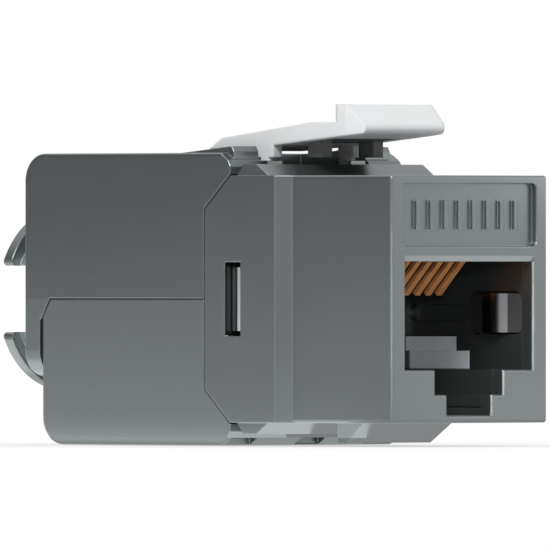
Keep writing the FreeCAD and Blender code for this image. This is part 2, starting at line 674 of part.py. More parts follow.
# ---------------------------------------------------------------- port insert and its springs
def port_insert():
    """Black lining of the port with a comb above it for the contacts."""
    piece = Piece("port_insert")
    half, tall = nose_inner - size.insert_gap, roof_inner - size.insert_gap
    piece.pad("XZ", [rectangle(-half, half, -tall, tall)],
              size.face_wall, insert_shoulder, "sleeve")
    tail = hinge_z - size.arm_depth - size.insert_gap * 2
    piece.pad("XZ", [rectangle(-half, half, -tail, tail)], insert_shoulder, insert_rear, "tail")
    port = rectangle(-port_half, port_half, port_floor, port_top)
    piece.pocket("XZ", [port], size.face_wall, size.port_depth, "port")
    tab = rectangle(-size.tab_width / 2, size.tab_width / 2, tab_floor, port_floor)
    piece.pocket("XZ", [tab], size.face_wall, size.key_depth, "tab_channel")
    key = rectangle(-size.key_width / 2, size.key_width / 2, -tall, tab_floor)
    piece.pocket("XZ", [key], size.face_wall, size.key_depth, "key_channel")
    run_top = port_top + size.wire_rise + size.insert_gap
    first = row_start(size.pitch)
    slot = rectangle(first - size.comb_slot / 2, first + size.comb_slot / 2,
                     port_top, run_top)
    comb = piece.pocket("XZ", [slot], size.wire_front - size.insert_gap * 4, insert_rear, "comb")
    piece.row(comb, "X", size.pitch, CONTACTS, "comb_row")
    low, high = shield_span()
    gap = size.shield_gap
    start, end = size.face_wall, size.shield_front + size.shield_length + gap * 2
    nick = size.shield_nick
    window = [
        (start, low - gap + nick), (start + nick, low - gap), (end, low - gap),
        (end, high + gap), (start + nick, high + gap), (start, high + gap - nick),
    ]
    piece.pocket("YZ", [window], -half, half, "shield_windows")
    middle, tip = size.shield_middle, size.groove_tall / 2
    groove = rectangle(size.groove_front, size.groove_end, middle - tip, middle + tip)
    deep = port_half + size.groove_sink
    piece.pocket("YZ", [groove], -deep, deep, "side_grooves")
    ends = [(along, middle + tip * up) for along in (size.groove_front, size.groove_end)
            for up in (1, -1)]
    # a little under half the height, so that the two roundings of an end stay apart
    piece.fillet(size.groove_tall * 0.48, straight("X", *ends), "groove_ends")
    seat, gap = port_half + size.plate_step * 2, size.insert_gap
    upper = rectangle(size.plate_front - gap, size.plate_end + gap,
                      size.plate_split, size.plate_top + gap)
    lower = rectangle(size.plate_front - size.plate_advance - gap,
                      size.plate_end - size.plate_retreat + gap, port_floor, size.plate_split)
    for side, (inside, outside) in {"right": (port_half - gap, seat),
                                    "left": (-seat, gap - port_half)}.items():
        piece.pocket("YZ", [upper], inside, outside, f"plate_seat_{side}")
        piece.pocket("YZ", [lower], inside, outside, f"plate_foot_{side}")
    return piece


def ground_plate(label, side):
    """A stepped plate let into the side of the port, which the plug's shield slides on."""
    piece = Piece(label)
    back = port_half + size.plate_step * 2 - size.insert_gap / 2
    face, top = port_half, size.plate_top
    step = [
        (face + size.plate_step, top), (back, top), (back, port_floor + size.insert_gap),
        (face, port_floor + size.insert_gap), (face, size.plate_split),
        (face + size.plate_step, size.plate_split),
    ]
    front = size.plate_front - size.plate_advance
    piece.pad("XZ", [flipped(step, across=side)], front, size.plate_end, "plate")
    notch = rectangle(face, back, size.plate_split, top)
    piece.pocket("XZ", [flipped(notch, across=side)], front, size.plate_front, "front_step")
    foot = rectangle(face, back, port_floor, size.plate_split)
    piece.pocket("XZ", [flipped(foot, across=side)], size.plate_end - size.plate_retreat,
                 size.plate_end, "rear_step")
    return piece


def contact(index):
    """One of the eight spring contacts: a straight run folded down and back at 45 degrees."""
    piece = Piece(f"jack_contact_{index + 1}")
    top = port_top + size.wire_rise
    under = top - size.wire_thick
    front = size.wire_front
    end_y, end_z = front + size.wire_fall, under - size.wire_fall
    cap = size.wire_thick / DIAGONAL
    strip = [
        (board_rear, top), (front + size.wire_thick, top), (front, under), (end_y, end_z),
        (end_y + cap, end_z + cap), (front + size.wire_thick * DIAGONAL, under),
        (board_rear, under),
    ]
    middle = row_start(size.pitch) + size.pitch * index
    piece.pad("YZ", [strip], middle - size.wire_width / 2, middle + size.wire_width / 2, "strip")
    piece.fillet(size.wire_thick / 2, straight(
        "X", (front + size.wire_thick, top), (front, under)), "fold")
    return piece


def shield_span():
    return (size.shield_middle - size.shield_height / 2,
            size.shield_middle + size.shield_height / 2)


def shield_spring(label, side):
    """A leaf beside the port that bulges inwards to touch the plug's shield."""
    piece = Piece(label)
    outer = nose_inner - size.insert_gap / 2
    inner = port_half - size.shield_bulge + size.shield_thick
    thick = size.shield_thick
    front, end = size.shield_front + size.shield_gap, size.shield_front + size.shield_length
    rise = front + size.shield_foot
    crown, fall = rise + size.shield_rise, end - size.shield_fall
    tip = port_half - size.insert_gap
    leaf = [
        (outer, front), (outer, rise), (inner, crown), (inner, fall), (tip, end),
        (tip - thick, end), (inner - thick, fall), (inner - thick, crown),
        (outer - thick, rise - thick), (outer - thick, front),
    ]
    low, high = shield_span()
    piece.pad("XY", [flipped(leaf, across=side)], low, high, "leaf")
    faces = [((inner - thick) * side, along) for along in (crown, fall)]
    piece.fillet(size.shield_bend, straight("Z", *faces), "inner_bend")
    piece.fillet(size.shield_corner, straight("X", (front, low), (front, high)), "front_corners")
    return piece


# ---------------------------------------------------------------- circuit board and wiring core
def circuit_board():
    """Upright board behind the port, drilled for the contact tails."""
    piece = Piece("circuit_board")
    half, tall = size.board_width / 2, roof_inner - size.board_inset
    piece.pad("XZ", [rectangle(-half, half, -tall, tall)], board_front, board_rear, "blank")
    middle = port_top + size.wire_rise - size.wire_thick / 2
    reach = size.wire_width / 2 + size.insert_gap
    first = row_start(size.pitch)
    hole = rectangle(first - reach, first + reach, middle - reach, middle + reach)
    drilled = piece.pocket("XZ", [hole], board_front, board_rear, "tail_hole")
    piece.row(drilled, "X", size.pitch, CONTACTS, "tail_holes")
    return piece


def fork_places():
    """Where each of one side's four wire forks stands: across, and along the jack."""
    near_row, far_row = fork_rows
    return [
        (-size.fork_outer, near_row), (-size.fork_inner, far_row),
        (size.fork_inner, far_row), (size.fork_outer, near_row),
    ]


def punch_block(label, up):
    """Half of the wiring block, slotted for its blades and grooved across for the wires."""
    piece = Piece(label)
    half, gap = size.block_width / 2, size.insert_gap
    side = [
        (block_front, gap), (block_rear, gap), (block_rear, size.block_rise - size.block_bevel),
        (block_rear - size.block_bevel, size.block_rise), (block_front, size.block_rise),
    ]
    piece.pad("YZ", [flipped(side, up=up)], -half, half, "block")
    floor = size.fork_tip - size.groove_drop
    grooves = [
        flipped(rectangle(row - size.groove_width / 2, row + size.groove_width / 2,
                          floor, size.block_rise), up=up)
        for row in fork_rows
    ]
    piece.pocket("YZ", grooves, -half, half, "wire_grooves")
    for number, (across, along) in enumerate(fork_places(), start=1):
        slot = rectangle(block_front, along + size.fork_width / 2 + gap,
                         size.blade_leg - gap, size.block_rise)
        reach = size.blade_thick / 2 + gap
        piece.pocket("YZ", [flipped(slot, up=up)], across - reach, across + reach,
                     f"blade_slot_{number}")
    return piece


def blade(number, across, along, up):
    """An insulation-displacement blade: a leg from the board and a forked upright."""
    piece = Piece(f"idc_blade_{number}")
    low, tip = size.blade_leg, size.fork_tip
    wide, slot, mouth = size.fork_width / 2, size.fork_slot / 2, size.fork_mouth / 2
    throat, foot = tip - size.fork_throat, low + size.fork_foot
    sheet = [
        (block_front, low), (along + wide, low), (along + wide, tip), (along + mouth, tip),
        (along + slot, throat), (along + slot, foot), (along - slot, foot),
        (along - slot, throat), (along - mouth, tip), (along - wide, tip),
        (along - wide, low + size.blade_leg), (block_front, low + size.blade_leg),
    ]
    reach = size.blade_thick / 2
    piece.pad("YZ", [flipped(sheet, up=up)], across - reach, across + reach, "sheet")
    return piece


def wire_guide():
    """Disc behind the wiring block with four wire channels and a cross that parts the pairs."""
    piece = Piece("wire_guide")
    front = block_rear + size.insert_gap
    rear = front + size.guide_thick
    piece.pad("XZ", [circle(0, 0, size.guide_radius)], front, rear, "disc")
    web, reach = size.guide_web / 2, size.guide_radius
    wall = web + size.guide_rib
    channel = rectangle(wall, reach, wall, reach)
    cut = piece.pocket("XZ", [channel], front, rear, "channel")
    piece.round_array(cut, "Y", 4, "channels")
    arm = size.bore_radius - size.guide_inset
    cross = [
        (-arm, -web), (-web, -web), (-web, -arm), (web, -arm), (web, -web), (arm, -web),
        (arm, web), (web, web), (web, arm), (-web, arm), (-web, web), (-arm, web),
    ]
    piece.pad("XZ", [cross], rear, rear + size.guide_cross, "cross")
    return piece


def side_clip(label, side):
    """A clip on the side of the wiring core whose lug snaps into the cheek window."""
    piece = Piece(label)
    seat = size.block_width / 2 + size.insert_gap
    foot = seat + size.clip_thick
    lug = cheek_inner + size.lug_reach
    rear = size.window_front + size.window_length - size.lug_gap
    front, end = rear - size.lug_base, rear + size.clip_tail
    tooth = front + size.lug_tooth
    plan = [
        (seat, block_front), (foot, block_front), (foot, front), (lug, front), (lug, tooth),
        (lug - size.lug_step, tooth), (lug - size.lug_step, rear), (foot, rear),
        (foot, end), (seat, end),
    ]
    tall = size.clip_height / 2
    piece.pad("XY", [flipped(plan, across=side)], -tall, tall, "clip")
    return piece


# ---------------------------------------------------------------- doors
def hinge_pin(label, up):
    pin_half = cheek_inner + size.cheek_wall / 2
    pin = rod(f"{label}_rod", "X", size.pin_radius, -pin_half, pin_half, hinge_y, hinge_z * up)
    return keep(pin, label)


def door(label, up):
    """One clamshell door: shell, hinge arms and half of the cable collar."""
    piece = Piece(label)
    upper = up > 0
    seam = size.seam_gap / 2
    edge = cheek_rear + size.seam_gap
    # the slope of the front edge stays one gap away from the sloped corner of the cheek
    shift = size.seam_gap * MITRE
    brow = half_height + size.seam_gap
    chin = door_top - size.door_bevel / 2
    profile = [
        (edge, seam), (edge, corner_height + shift), (door_front + shift, brow),
        (door_front, brow), (door_front, chin - size.chin_drop),
        (door_front + size.chin_slope, chin),
        (door_front + size.door_bevel, door_top),
    ]
    rear = door_rear if upper else lower_rear
    profile += [(rear, door_top)]
    profile += [(rear, seam)] if upper else [
        (rear, size.lower_drop), (rear - size.lower_slope, seam)]
    piece.pad("YZ", [flipped(profile, up=up)], -body_half, body_half, "shell")
    inner_half = body_half - size.door_wall
    back = wrap_front if upper else lower_rear - size.lower_wall
    hollow = rectangle(door_front + size.door_wall, back, seam, door_top - size.door_wall)
    piece.pocket("YZ", [flipped(hollow, up=up)], -inner_half, inner_half, "hollow")
    if upper:
        wrap_legs(piece)
    # the small rounding runs on from the long edges round the rear corner and down the rear edges
    piece.fillet(size.door_corner, straight("X", (rear, door_top * up)), "rear_corner")
    long_edges = straight("Y", (body_half, door_top * up), (-body_half, door_top * up))
    piece.fillet(size.door_edge, long_edges, "long_edges")
    if upper:
        seam_tongues(piece)
        latch_lips(piece)
    else:
        lip_recesses(piece)
    arms(piece, up)
    collar(piece, up, rear, back)
    return piece


def lip_recesses(piece):
    """Shallow recesses in the front lip of the lower door: one in the middle, one each side."""
    low = size.door_bevel / 2 - door_top
    reach = size.recess_middle / 2
    middle = rectangle(-reach, reach, low - size.lip_recess, low)
    side = rectangle(size.recess_inner, size.recess_outer, low - size.lip_recess, low)
    piece.pocket("XZ", [middle, side, flipped(side, across=-1)], door_front,
                 door_front + size.door_bevel, "lip_recesses")


def seam_tongues(piece):
    """Tongues on the upper door that close the seam from inside the lower door's walls."""
    wall = body_half - size.door_wall
    outer = wall - size.seam_gap
    inner, seam = outer - size.tongue_thick, size.seam_gap / 2
    tongue = [
        (inner, -size.tongue_drop), (outer, -size.tongue_drop), (outer, seam),
        (wall + seam, seam), (wall + seam, size.tongue_drop * 2), (inner, size.tongue_drop * 2),
    ]
    end = lower_rear - size.lower_wall - size.seam_gap
    piece.pad("XZ", [tongue, flipped(tongue, across=-1)], cheek_rear + size.tongue_drop, end,
              "seam_tongues")


def latch_lips(piece):
    """Raised lips on the upper door, and between them the notch that clears the latch."""
    half = size.hump_width / 2
    top, front = door_top + size.hump_rise, door_front + size.hump_setback
    lip = [
        (front, door_top - size.door_bevel / 2), (front, top - size.hump_bevel),
        (front + size.hump_slope, top), (door_front + size.hump_length, door_top),
        (door_front + size.hump_length, door_top - size.door_wall / 2),
        (door_front + size.door_wall, door_top - size.door_wall / 2),
    ]
    piece.pad("YZ", [lip], -half, half, "lips")
    notch = size.notch_width / 2
    piece.pocket("XY", [rectangle(-notch, notch, door_front, notch_rear)],
                 corner_height, top, "notch")


def wrap_legs(piece):
    """Two legs of the upper door's rear wall that reach down outside the lower door."""
    inner, seam = size.neck_radius + size.wrap_inset, size.seam_gap
    legs = {"right": (inner, body_half), "left": (-body_half, -inner)}
    corner = [
        (lower_rear - size.lower_slope + seam, seam / 2), (wrap_front + seam, seam / 2),
        (wrap_front + seam, -size.lower_drop - seam), (wrap_front, -size.lower_drop - seam),
        (lower_rear + seam, -size.lower_drop),
    ]
    for side, (low, high) in legs.items():
        leg = rectangle(low, high, -size.wrap_drop, seam / 2)
        piece.pad("XZ", [leg], wrap_front, door_rear, f"wrap_leg_{side}")
        piece.pad("YZ", [corner], low, high, f"wrap_corner_{side}")
    foot = straight("Y", (body_half, -size.wrap_drop), (-body_half, -size.wrap_drop))
    piece.fillet(size.wrap_round, foot, "wrap_feet")


def arms(piece, up):
    """Two hooked arms that reach under the ridge and turn on the hinge pin."""
    low = hinge_z - size.arm_depth
    front = hinge_y - size.arm_neck / 2 - size.arm_lead
    rear = cheek_rear + size.arm_lap
    ceiling = door_top - size.door_wall / 2
    reach = size.arm_reach
    brow = hinge_y + reach + size.arm_brow
    # the plate stays outside the circle that the ridge needs to pass
    hook = [
        (front, low + size.arm_nick), (front + size.arm_nick, low), (rear - size.arm_bevel, low),
        (rear, low + size.arm_bevel), (rear, ceiling), (brow, ceiling), (brow, hinge_z),
        (hinge_y + reach, hinge_z - reach * MITRE), (hinge_y + reach * MITRE, hinge_z - reach),
        (front, hinge_z - reach),
    ]
    neck = rectangle(hinge_y - size.arm_neck / 2, hinge_y + size.arm_neck / 2,
                     hinge_z - reach - size.arm_root, hinge_z)
    eye = circle(hinge_y, hinge_z * up, size.eye_radius)
    bore = circle(hinge_y, hinge_z * up, size.pin_radius + size.pin_clearance)
    for side, low_x, high_x in (("right", arm_inner, size.arm_outer),
                                ("left", -size.arm_outer, -arm_inner)):
        piece.pad("YZ", [flipped(hook, up=up)], low_x, high_x, f"arm_{side}")
        piece.pad("YZ", [flipped(neck, up=up)], low_x, high_x, f"neck_{side}")
        piece.pad("YZ", [eye], low_x, high_x, f"eye_{side}")
        piece.pocket("YZ", [bore], low_x, high_x, f"bore_{side}")


def collar(piece, up, rear, back):
    """Half of the split cable collar on the rear wall, and the cable hole through the wall."""
    piece.pad("XZ", [circle(0, 0, size.neck_radius)], rear, neck_end, "neck")
    piece.pad("XZ", [circle(0, 0, size.rim_radius)], neck_end, rim_end, "rim")
    other = rectangle(-size.rim_radius, size.rim_radius, -size.rim_radius, size.collar_gap / 2)
    piece.pocket("XZ", [flipped(other, up=up)], rear, rim_end, "collar_split")
    flat = rectangle(size.collar_flat / 2, size.rim_radius, size.collar_gap / 2, size.rim_radius)
    flats = [flipped(flat, up=up), flipped(flat, across=-1, up=up)]
    piece.pocket("XZ", flats, neck_end, rim_end, "collar_flats")
    piece.pocket("XZ", [circle(0, 0, size.bore_radius)], back, rim_end, "cable_hole")
    corners = [(size.collar_flat / 2 * side, size.collar_gap / 2 * up) for side in (1, -1)]
    piece.fillet(size.rim_corner, straight("Y", *corners), "rim_corners")
    piece.fillet(size.rim_edge, rim_edges, "rim_edges")


def rim_edges(edge):
    """The round outer edges of the collar's rim, front and rear."""
    curve = edge.Curve
    return (curve.TypeId == "Part::GeomCircle" and near(curve.Radius, size.rim_radius)
            and (near(curve.Center.y, neck_end) or near(curve.Center.y, rim_end)))


def wire_presser(label, up):
    """Plate inside a door with two ribs that push the wires into their forks."""
    piece = Piece(label)
    half = size.presser_width / 2
    top = door_top - size.door_wall - size.insert_gap
    rear = block_rear
    plate = rectangle(presser_front, rear, top - size.presser_plate, top)
    piece.pad("YZ", [flipped(plate, up=up)], -half, half, "plate")
    reach = size.block_width / 2
    ribs = [
        flipped(rectangle(row - size.presser_rib / 2, row + size.presser_rib / 2,
                          size.presser_foot, top - size.presser_plate), up=up)
        for row in fork_rows
    ]
    piece.pad("YZ", ribs, -reach, reach, "ribs")
    return piece


# ---------------------------------------------------------------- panel latch
def panel_latch():
    """Light plastic latch: a head that hooks the panel, a springy arm, and two round feet."""
    piece = Piece("panel_latch")
    half = size.latch_width / 2
    head_rear = size.catch_depth + size.latch_set
    head_front = head_rear - size.latch_head
    under = size.latch_step - size.latch_thick
    side = [
        (head_rear, size.latch_step), (head_rear, size.latch_top), (head_front, size.latch_top),
        (size.latch_reach, size.latch_nose_low),
        (size.leg_front, under - size.latch_sag),
        (size.latch_tail - size.latch_tail_lip, size.latch_tail_top - size.latch_tail_deep),
        (size.latch_tail, size.latch_tail_top - size.latch_tail_edge),
        (size.latch_tail - size.latch_tail_slope, size.latch_tail_top),
        (size.latch_bend, size.latch_step),
    ]
    piece.pad("YZ", [side], -half, half, "arm")
    nose = straight("X", (size.latch_reach, size.latch_nose_low))
    piece.fillet(size.latch_nose_round, nose, "nose_round")
    tail = straight("X", (size.latch_tail - size.latch_tail_slope, size.latch_tail_top))
    piece.fillet(size.latch_tail_round, tail, "tail_round")
    taper = [(half, head_front), (size.latch_nose / 2, size.latch_reach),
             (half, size.latch_reach)]
    piece.pocket("XY", [taper, flipped(taper, across=-1)],
                 size.latch_nose_low - size.latch_thick, size.latch_top, "nose_taper")
    pivot = size.leg_front + size.leg_length / 2
    neck = size.foot_neck / 2
    shoulder = size.pivot_height + size.cradle_rise + size.leg_shoulder
    buried = under - size.leg_root
    leg = [
        (size.leg_front, buried), (size.leg_front, shoulder), (pivot - neck, shoulder),
        (pivot - neck, size.pivot_height), (pivot + neck, size.pivot_height),
        (pivot + neck, shoulder), (size.leg_front + size.leg_length, shoulder),
        (size.leg_front + size.leg_length, buried),
    ]
    foot = circle(pivot, size.pivot_height, size.foot_radius)
    stop = rectangle(size.stop_front, size.stop_front + size.stop_length, size.stop_foot, under)
    stop_outer = size.stop_inner + size.stop_width
    for side, leg_x, stop_x in (
            ("right", (half - size.leg_thick, half), (size.stop_inner, stop_outer)),
            ("left", (-half, size.leg_thick - half), (-stop_outer, -size.stop_inner))):
        piece.pad("YZ", [leg], *leg_x, f"leg_{side}")
        piece.pad("YZ", [foot], *leg_x, f"foot_{side}")
        piece.pad("YZ", [stop], *stop_x, f"stop_{side}")
    plate = size.leg_plate
    hollow = rectangle(half - size.leg_thick, half - plate, size.leg_front + plate,
                       size.leg_front + size.leg_length)
    piece.pocket("XY", [hollow, flipped(hollow, across=-1)], shoulder, buried - size.insert_gap,
                 "leg_hollows")
    return piece


# ---------------------------------------------------------------- make every sub-part
housing()
port_insert()
for index in range(CONTACTS):
    contact(index)
shield_spring("shield_spring_left", -1)
shield_spring("shield_spring_right", 1)
ground_plate("ground_plate_left", -1)
ground_plate("ground_plate_right", 1)
circuit_board()
punch_block("idc_block_upper", 1)
punch_block("idc_block_lower", -1)
for side, up in enumerate((1, -1)):
    for number, (across, along) in enumerate(fork_places(), start=1 + 4 * side):
        blade(number, across, along, up)
wire_guide()
side_clip("side_clip_left", -1)
side_clip("side_clip_right", 1)
hinge_pin("upper_hinge_pin", 1)
hinge_pin("lower_hinge_pin", -1)
door("upper_door", 1)
door("lower_door", -1)
wire_presser("upper_wire_presser", 1)
wire_presser("lower_wire_presser", -1)
panel_latch()

doc.recompute()
failed = [o.Name for o in doc.Objects if {"Invalid", "Error"} & set(o.State)]
if failed:
    raise ValueError(f"failed objects: {failed}")
for thing in subparts:
    if thing.Shape.isNull() or not thing.Shape.isValid() or not thing.Shape.Solids:
        raise ValueError(f"{thing.Label} has no valid solid")

os.makedirs("parts", exist_ok=True)
for thing in subparts:
    thing.Shape.exportStep(f"parts/{thing.Label}.step")
    print(thing.Label, round(thing.Shape.Volume, 3), len(thing.Shape.Solids))
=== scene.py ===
"""Dresses the shielded keystone jack: materials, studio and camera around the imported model.

Every length is in metres, in the frame of the model: +Y back towards the cable, +Z up towards the
panel latch, and the port's mouth in the plane Y = 0.
"""
import json
import math

import bpy
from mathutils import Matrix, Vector


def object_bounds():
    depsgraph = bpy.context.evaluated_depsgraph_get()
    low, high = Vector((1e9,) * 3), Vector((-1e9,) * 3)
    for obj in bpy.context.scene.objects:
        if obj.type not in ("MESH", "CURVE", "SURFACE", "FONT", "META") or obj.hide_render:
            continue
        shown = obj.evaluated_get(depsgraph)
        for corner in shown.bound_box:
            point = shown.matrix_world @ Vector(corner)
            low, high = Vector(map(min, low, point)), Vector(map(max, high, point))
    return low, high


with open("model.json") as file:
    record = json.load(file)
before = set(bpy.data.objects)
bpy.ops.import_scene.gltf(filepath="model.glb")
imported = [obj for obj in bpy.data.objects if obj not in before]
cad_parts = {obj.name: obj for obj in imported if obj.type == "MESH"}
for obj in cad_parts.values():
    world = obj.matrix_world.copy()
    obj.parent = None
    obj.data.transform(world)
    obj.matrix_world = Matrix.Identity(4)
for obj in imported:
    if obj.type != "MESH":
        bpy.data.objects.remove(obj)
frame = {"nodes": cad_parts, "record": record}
cad_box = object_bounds()
bottom = cad_box[0][2]
top = cad_box[1][2]
scene = bpy.context.scene

# ---------------------------------------------------------------- camera
CAMERA_AZIMUTH = math.radians(-45)    # it looks along +X and +Y at once, level with the floor
# the other views lose an object that is much farther off
CAMERA_DISTANCE = 1.7                 # how far the camera stands from the object
VIEW_WIDTH = 0.03624                  # what the picture takes in, across, at the object
SENSOR = 36.0                         # millimetres
AIM = Vector((0.00003, 0.01803, (bottom + top) / 2))

towards_camera = Vector((math.sin(CAMERA_AZIMUTH), -math.cos(CAMERA_AZIMUTH), 0))
camera_data = bpy.data.cameras.new("camera")
camera_data.sensor_width = SENSOR
camera_data.lens = SENSOR * CAMERA_DISTANCE / VIEW_WIDTH
camera_data.clip_start = 0.01
camera_data.clip_end = 5
camera = bpy.data.objects.new("camera", camera_data)
camera.location = AIM + towards_camera * CAMERA_DISTANCE
camera.rotation_euler = (-towards_camera).to_track_quat("-Z", "Y").to_euler()
scene.collection.objects.link(camera)
scene.camera = camera


# ---------------------------------------------------------------- nodes
def grey(value):
    return (value, value, value, 1)


def scaled(colour, share):
    """A colour made lighter or darker by a share, with its alpha."""
    return tuple(min(1, part * share) for part in colour) + (1,)


class Graph:
    """The nodes of a material or a world, made one call at a time."""

    def __init__(self, owner):
        owner.use_nodes = True
        self.owner = owner
        self.nodes = owner.node_tree.nodes
        self.links = owner.node_tree.links

    def node(self, kind, inputs=None, **settings):
        made = self.nodes.new("ShaderNode" + kind)
        for key, value in settings.items():
            setattr(made, key, value)
        self.feed(made, inputs or {})
        return made

    def feed(self, node, inputs):
        """Link outputs to the node's inputs, or set plain numbers and colours on them."""
        for key, value in inputs.items():
            if isinstance(value, bpy.types.NodeSocket):
                self.links.new(value, node.inputs[key])
            else:
                node.inputs[key].default_value = value

    def show(self, surface):
        """Make a shader the material's surface, in place of the plain one."""
        output = next(made for made in self.nodes if made.type == "OUTPUT_MATERIAL")
        self.feed(output, {"Surface": surface})

    def math(self, operation, first, second):
        return self.node("Math", {0: first, 1: second}, operation=operation).outputs[0]

    def mix(self, share, first, second, blend="MIX"):
        made = self.node("Mix", {0: share, 6: first, 7: second}, data_type="RGBA", blend_type=blend)
        return made.outputs[2]

    def mix_shader(self, share, first, second):
        return self.node("MixShader", {0: share, 1: first, 2: second}).outputs[0]

    def glow(self, strength):
        return self.node("Emission", {"Color": grey(1.0), "Strength": strength}).outputs[0]

    def rays(self):
        """The light path's outputs, and 1 for a ray that gloss or glass has sent on."""
        path = self.node("LightPath").outputs
        return path, self.math("MAXIMUM", path["Is Glossy Ray"], path["Is Transmission Ray"])

    def place(self):
        return self.node("TexCoord").outputs["Object"]

    def noise(self, scale, detail, stretch=None):
        """Noise over the object's own coordinates, scale in waves a metre."""
        place = self.place()
        if stretch:
            place = self.node("Mapping", {"Vector": place, "Scale": stretch}).outputs[0]
        return self.node("TexNoise", {"Vector": place, "Scale": scale, "Detail": detail,
                                      "Roughness": 0.55}).outputs["Fac"]

    def spread(self, value, low, high):
        """A 0 to 1 noise, stretched about its middle, to low to high."""
        return self.node("MapRange", {"Value": value, "From Min": 0.3, "From Max": 0.7,
                                      "To Min": low, "To Max": high}).outputs[0]

    def edges(self, radius):
        """0 on flat faces to 1 along edges, out and in, and the rounded normal itself."""
        rounded = self.node("Bevel", {"Radius": radius}, samples=6).outputs[0]
        flat = self.node("NewGeometry").outputs["Normal"]
        facing = self.node("VectorMath", {0: rounded, 1: flat}, operation="DOT_PRODUCT").outputs["Value"]
        turned = self.math("SUBTRACT", 1.0, facing)
        edge_mask = self.node("MapRange", {"Value": turned, "From Min": 0.01, "From Max": 0.2}).outputs[0]
        return edge_mask, rounded

    def within(self, limits):
        """1 where the object's own coordinates lie between the limits along each axis named."""
        along = self.node("SeparateXYZ", {"Vector": self.place()}).outputs
        share = 1.0
        for axis, (low, high) in limits.items():
            share = self.math("MULTIPLY", share, self.math("GREATER_THAN", along[axis], low))
            share = self.math("MULTIPLY", share, self.math("LESS_THAN", along[axis], high))
        return share

    def toned(self, colour, tone, cloud, zones):
        """The colour, a tone lighter to a tone darker with the cloud, and painted lighter or darker in
        the zones as light and shade.
        """
        base = self.mix(self.spread(cloud, 0, 1), scaled(colour, 1 - tone), scaled(colour, 1 + tone))
        for limits, share in zones:
            base = self.mix(self.within(limits), base, grey(share), "MULTIPLY")
        return base


# ---------------------------------------------------------------- kinds of finish
METAL_CLOUD = 160                     # waves a metre, as all four noises have it
METAL_GRAIN = 9000
FLOW_MARKS = 220
SPARK_GRAIN = 7000
EDGE_WEAR_AND_HIGHLIGHT = 0.7                       # how much of the brighter colour a metal's edge takes on, partly wear and partly a painted highlight
METAL_EDGE_POLISH = 0.12              # how much smoother an edge is than the faces beside it
PLASTIC_EDGE_POLISH = 0.08
SCATTER_DEPTH = 0.0006                # how far light spreads inside a pale plastic


def metal(name, colour, rough, grain=1e-7, tone=0.04, metallic=1.0, edge_gain=1.25, edge_radius=6e-5,
          zones=()):
    """Plated or bare metal with cloudy tone, fine grain and smoother edges, painted brighter partly as
    wear and partly as a highlight.
    """
    g = Graph(bpy.data.materials.new(name))
    cloud = g.noise(METAL_CLOUD, 4)
    fine = g.noise(METAL_GRAIN, 2)
    edge_mask, rounded = g.edges(edge_radius)
    base = g.toned(colour, tone, cloud, zones)
    roughness = g.math("ADD", g.spread(fine, rough - 0.01, rough + 0.01), g.spread(cloud, -0.02, 0.02))
    g.feed(g.nodes["Principled BSDF"], {
        "Metallic": metallic,
        "Base Color": g.mix(g.math("MULTIPLY", edge_mask, EDGE_WEAR_AND_HIGHLIGHT), base, scaled(colour, edge_gain)),
        "Roughness": g.math("SUBTRACT", roughness, g.math("MULTIPLY", edge_mask, METAL_EDGE_POLISH)),
        "Normal": g.node("Bump", {"Height": fine, "Distance": grain, "Normal": rounded}).outputs[0]})
    return g.owner


def plastic(name, colour, rough, grain=1e-6, tone=0.03, specular=0.5, scatter=0.0, edge_radius=1e-4,
            zones=()):
    """Moulded plastic with a fine spark-eroded texture and slight flow marks along Y."""
    g = Graph(bpy.data.materials.new(name))
    flow = g.noise(FLOW_MARKS, 3, stretch=(1, 0.35, 1))
    fine = g.noise(SPARK_GRAIN, 2)
    edge_mask, rounded = g.edges(edge_radius)
    roughness = g.spread(fine, rough - 0.04, rough + 0.04)
    g.feed(g.nodes["Principled BSDF"], {
        "Base Color": g.toned(colour, tone, flow, zones),
        "Specular IOR Level": specular,
        "Subsurface Weight": scatter,
        "Subsurface Scale": SCATTER_DEPTH,
        "Roughness": g.math("SUBTRACT", roughness, g.math("MULTIPLY", edge_mask, PLASTIC_EDGE_POLISH)),
        "Normal": g.node("Bump", {"Height": fine, "Distance": grain, "Normal": rounded}).outputs[0]})
    return g.owner


ZINC = (0.180, 0.197, 0.199)


def zinc(name, share, *zones):
    """The nickel-plated casting, each part of it painted a little lighter or darker for the light that
    falls on it.
    """
    colour = tuple(part * share for part in ZINC)
    return metal(name, colour, 0.30, tone=0.010, metallic=0.85, edge_gain=1.6, edge_radius=1.2e-4,
                 zones=zones)


# ---------------------------------------------------------------- zones of painted light and shade
# Each is the limits that it lies between, and the share of its own colour that the part has there, which
# paints light or shade into it.
WINDOW_END = {"Y": (0.01466, 0.01472), "Z": (-0.0024, 0.0024)}
CHEEKS = ((-0.00795, -0.006), (0.006, 0.00795))
PAINTED_WINDOW_SHADE = [({"X": cheek, **WINDOW_END}, 0.35) for cheek in CHEEKS]    # painted shade where the windows end, behind
PAINTED_NECK_LIGHT = ({"Y": (0.03345, 0.0371)}, 3.0)           # painted light on the collar's neck and the face of its rim, where the lamps hardly reach
PAINTED_SKIRT_LIGHT = ({"Z": (-0.02, 0.0)}, 1.20)              # the legs of the upper door, below the seam, painted lighter as a painted reflection
PAINTED_STOP_SHADE = ({"X": (-0.003, 0.003), "Y": (0.0095, 0.0125), "Z": (0.009, 0.01055)}, 0.18)    # painted shade on the stops under the latch
PAINTED_LEG_SHADE = ({"Y": (0.0140, 0.0141), "Z": (0.008, 0.0101)}, 0.70)    # painted shade on the fronts of the latch's two legs
PAINTED_TOOTH_SHADOW = ({"Y": (0.01415, 0.01434)}, 0.3)    # painted shadow on the side clips behind their raised teeth
PAINTED_BEND_HIGHLIGHT = ({"Y": (0.0022, 0.0033)}, 4.2)          # a painted highlight on the bend of each shield spring

